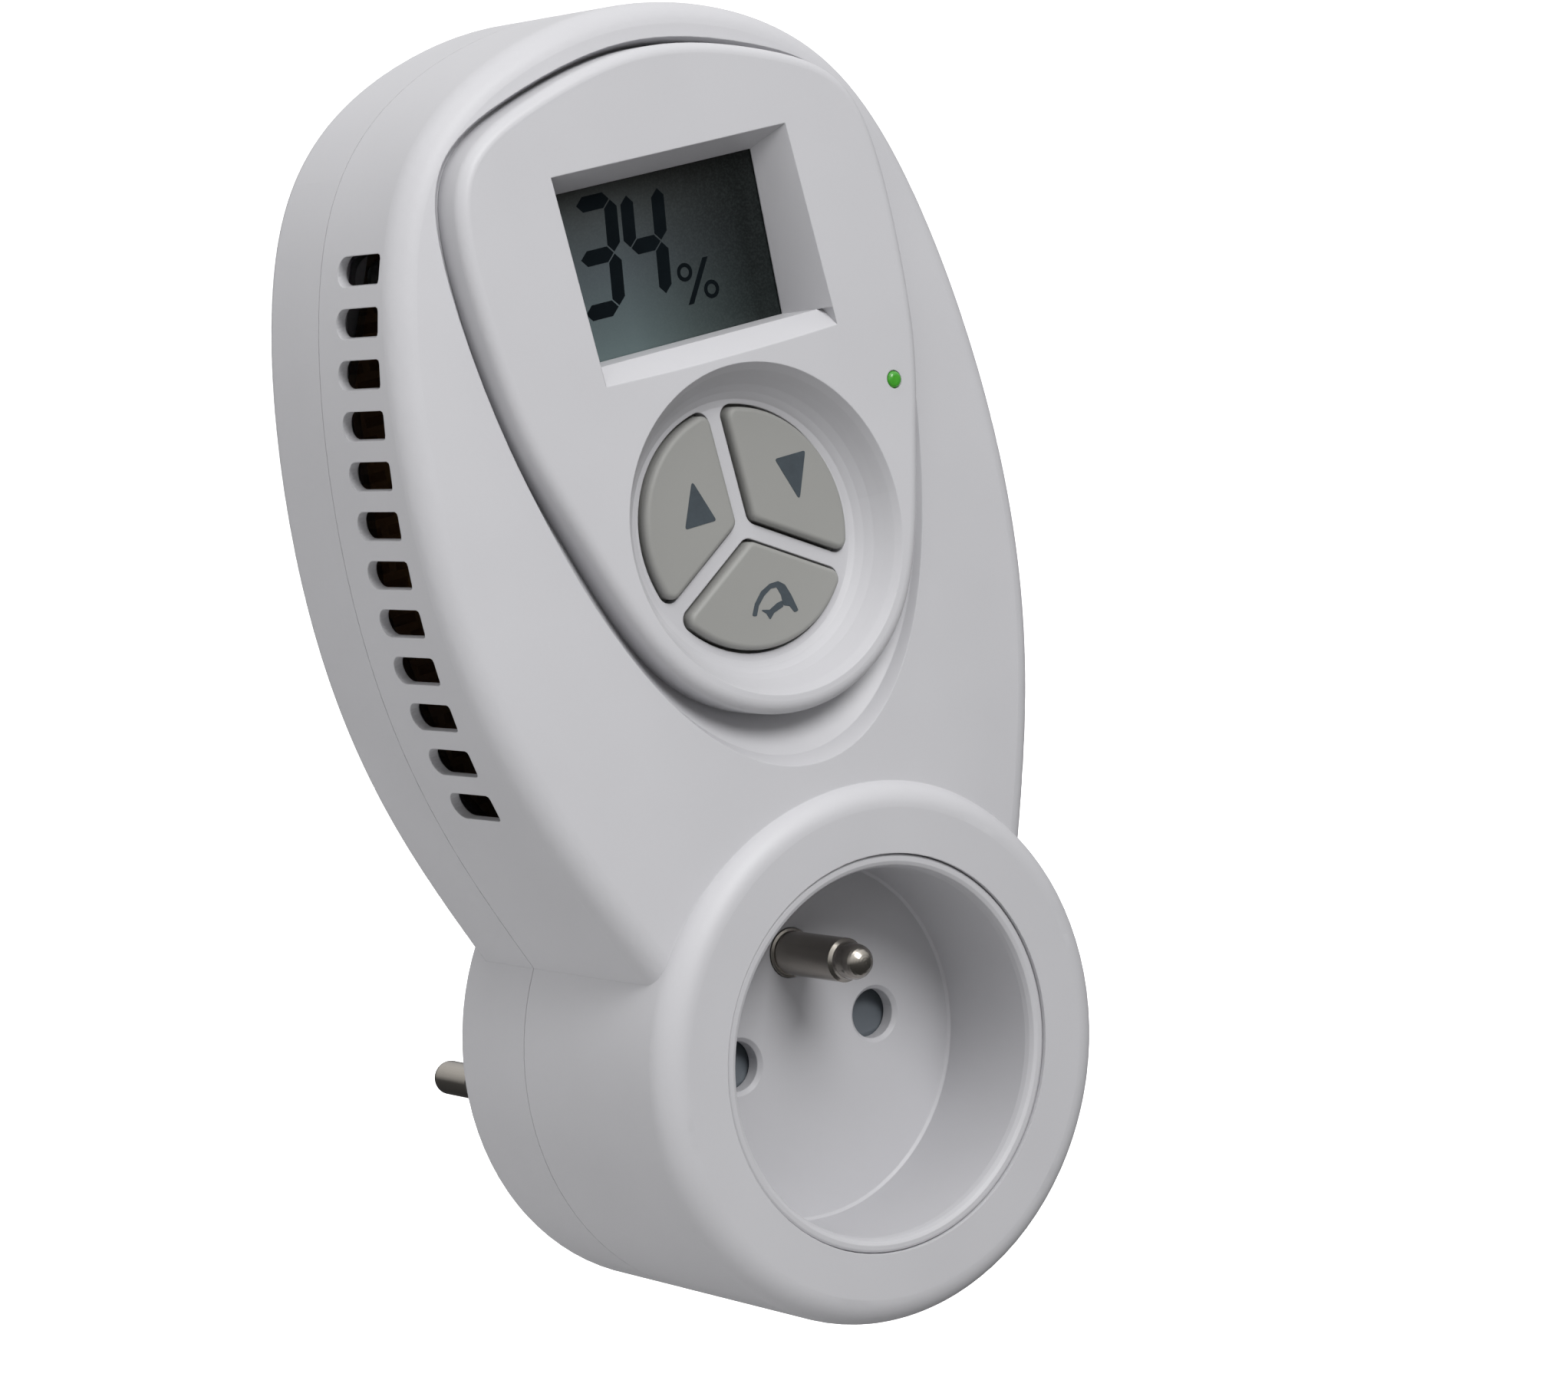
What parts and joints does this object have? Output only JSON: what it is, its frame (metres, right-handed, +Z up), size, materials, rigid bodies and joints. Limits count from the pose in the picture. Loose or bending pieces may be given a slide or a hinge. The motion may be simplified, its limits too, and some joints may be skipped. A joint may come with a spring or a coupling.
{
  "type": "plug-in power meter",
  "caption": "White plug-in mains meter: egg-shaped casing with vented sides, tilted display and three-key pad above an earthed socket, plug on the back.",
  "frame": {"origin": "centre of the plug end face at the back, midway between the two plug pins", "axes": "+Z up, +X to the right seen from the front, +Y into the wall; the display and the socket face -Y"},
  "size_m": [0.0748, 0.0778, 0.1425],
  "materials": {
    "casing_front": "fine satin texture",
    "casing_rear": "fine satin texture",
    "panel": "satin",
    "insert": "satin",
    "insulator": "moulded",
    "nickel": "nickel plated",
    "earth_brass": "bright",
    "spring_bronze": "bright",
    "busbar": "tin plated",
    "shutter_plastic": "moulded",
    "spring_steel": "drawn wire",
    "key_plastic": "fine grain",
    "plunger_plastic": "moulded",
    "switch_body": "moulded",
    "circuit_board": "lacquered phenolic",
    "header_plastic": "moulded",
    "display_glass": "clear over grey green",
    "lcd_frame": "moulded",
    "elastomer": "soft",
    "led_lens": "diffused",
    "relay_case": "smooth",
    "film_capacitor": "epoxy filled box",
    "can_sleeve": "sleeved can",
    "varistor_coat": "dipped",
    "fuse_glass": "clear",
    "sensor_case": "vented",
    "screw_steel": "zinc plated"
  },
  "bodies": {
    "casing": {"board_link": "header_plastic", "board_screws": "screw_steel", "casing_screws": "screw_steel", "contact_block": "insulator", "display_board": "circuit_board", "dropper_capacitor": "film_capacitor", "earth_strap": "earth_brass", "front_panel": "panel", "front_shell": "casing_front", "fuse_clips": "busbar", "humidity_sensor": "sensor_case", "indicator_led": "led_lens", "insert_screws": "screw_steel", "lcd_connectors": "elastomer", "lcd_frame": "lcd_frame", "lcd_glass": "display_glass", "live_busbar": "busbar", "live_return_busbar": "busbar", "main_board": "circuit_board", "mains_fuse": "fuse_glass", "neutral_busbar": "busbar", "plug_earth_clips": "spring_bronze", "plug_earth_tube": "earth_brass", "plug_pin_left": "nickel", "plug_pin_right": "nickel", "power_relay": "relay_case", "rear_shell": "casing_rear", "shutter_carrier": "insulator", "shutter_spring": "spring_steel", "smoothing_capacitors": "can_sleeve", "socket_contact_left": "spring_bronze", "socket_contact_right": "spring_bronze", "socket_earth_pin": "nickel", "socket_insert": "insert", "tact_switches": "switch_body", "varistor": "varistor_coat"},
    "key_up": {"key_up": "key_plastic"},
    "key_down": {"key_down": "key_plastic"},
    "key_return": {"key_return": "key_plastic"},
    "plunger_up": {"plunger_up": "plunger_plastic"},
    "plunger_down": {"plunger_down": "plunger_plastic"},
    "plunger_return": {"plunger_return": "plunger_plastic"},
    "shutter": {"socket_shutter": "shutter_plastic"}
  },
  "joints": [
    {"name": "key_up_press", "type": "slide", "parent": "casing", "child": "key_up", "axis": [0, 1, 0], "range_m": [0, 0.00025], "stiffness_N_per_m": 800},
    {"name": "plunger_up_press", "type": "slide", "parent": "casing", "child": "plunger_up", "axis": [0, 1, 0], "range_m": [0, 0.00025]},
    {"name": "key_down_press", "type": "slide", "parent": "casing", "child": "key_down", "axis": [0, 1, 0], "range_m": [0, 0.00025], "stiffness_N_per_m": 800},
    {"name": "plunger_down_press", "type": "slide", "parent": "casing", "child": "plunger_down", "axis": [0, 1, 0], "range_m": [0, 0.00025]},
    {"name": "key_return_press", "type": "slide", "parent": "casing", "child": "key_return", "axis": [0, 1, 0], "range_m": [0, 0.00025], "stiffness_N_per_m": 800},
    {"name": "plunger_return_press", "type": "slide", "parent": "casing", "child": "plunger_return", "axis": [0, 1, 0], "range_m": [0, 0.00025]},
    {"name": "shutter_drop", "type": "slide", "parent": "casing", "child": "shutter", "axis": [0, 0, -1], "range_m": [0, 0.0058], "deforming": ["shutter_spring"]}
  ],
  "couplings": [
    {"joint": "plunger_up_press", "follows": "key_up_press", "ratio": 1},
    {"joint": "plunger_down_press", "follows": "key_down_press", "ratio": 1},
    {"joint": "plunger_return_press", "follows": "key_return_press", "ratio": 1}
  ]
}
